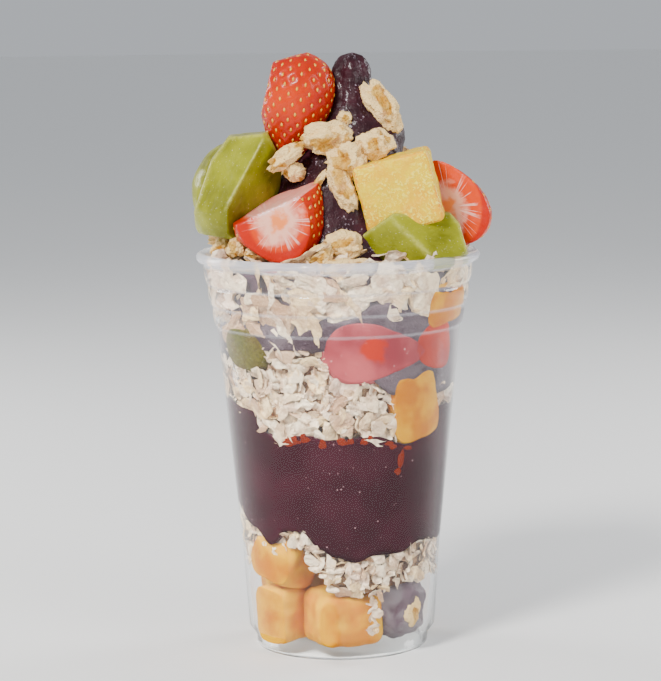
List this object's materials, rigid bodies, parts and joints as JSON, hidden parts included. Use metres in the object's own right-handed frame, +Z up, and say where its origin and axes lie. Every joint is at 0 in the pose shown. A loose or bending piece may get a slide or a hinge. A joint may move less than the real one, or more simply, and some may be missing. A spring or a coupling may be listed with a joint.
{
  "type": "acai cup",
  "caption": "Tall clear plastic cup of acai layered with cereal flakes and fruit, heaped over the rim with strawberry, kiwi, mango, coated cereal and a soft peak.",
  "frame": {"origin": "middle of the cup's foot, on the surface it stands on", "axes": "+Z up along the cup's axis; -Y is the front, the side towards the viewer; +X is the viewer's right"},
  "size_m": [0.1041, 0.0984, 0.207],
  "materials": {
    "clear_plastic": "clear, thin, glossy moulded plastic",
    "acai": "frozen acai cream, dark violet-brown, wet",
    "flakes": "loose cereal flakes, cream, dry",
    "cereal": "coated cereal, cream over gold, rough",
    "mango": "cut mango, yellow to orange, moist",
    "strawberry": "strawberry, red skin with seeds, pale cut face",
    "kiwi": "peeled kiwi, olive green, translucent, moist"
  },
  "bodies": {
    "root": {"acai_base": "acai", "acai_main": "acai", "acai_upper": "acai", "cereal_almond": "cereal", "cereal_back_high": "cereal", "cereal_back_left": "cereal", "cereal_back_middle": "cereal", "cereal_back_right": "cereal", "cereal_back_rim": "cereal", "cereal_big": "cereal", "cereal_cluster": "cereal", "cereal_long": "cereal", "cereal_peak": "cereal", "cereal_rim_front": "cereal", "cereal_rim_left": "cereal", "cereal_rim_middle": "cereal", "cereal_rim_side": "cereal", "cereal_white": "cereal", "cup": "clear_plastic", "flakes_lower": "flakes", "flakes_middle": "flakes", "flakes_upper": "flakes", "kiwi_back": "kiwi", "kiwi_back_right": "kiwi", "kiwi_left": "kiwi", "kiwi_right": "kiwi", "kiwi_wall_back": "kiwi", "kiwi_wall_left": "kiwi", "mango_back": "mango", "mango_base_back_left": "mango", "mango_base_back_right": "mango", "mango_base_front": "mango", "mango_base_left": "mango", "mango_base_upper": "mango", "mango_cube": "mango", "mango_dried": "mango", "mango_wall_back": "mango", "mango_wall_high": "mango", "mango_wall_low": "mango", "strawberry_back": "strawberry", "strawberry_back_high": "strawberry", "strawberry_half": "strawberry", "strawberry_right": "strawberry", "strawberry_top": "strawberry", "strawberry_wall": "strawberry", "strawberry_wall_back": "strawberry", "strawberry_wall_right": "strawberry"}
  },
  "joints": []
}
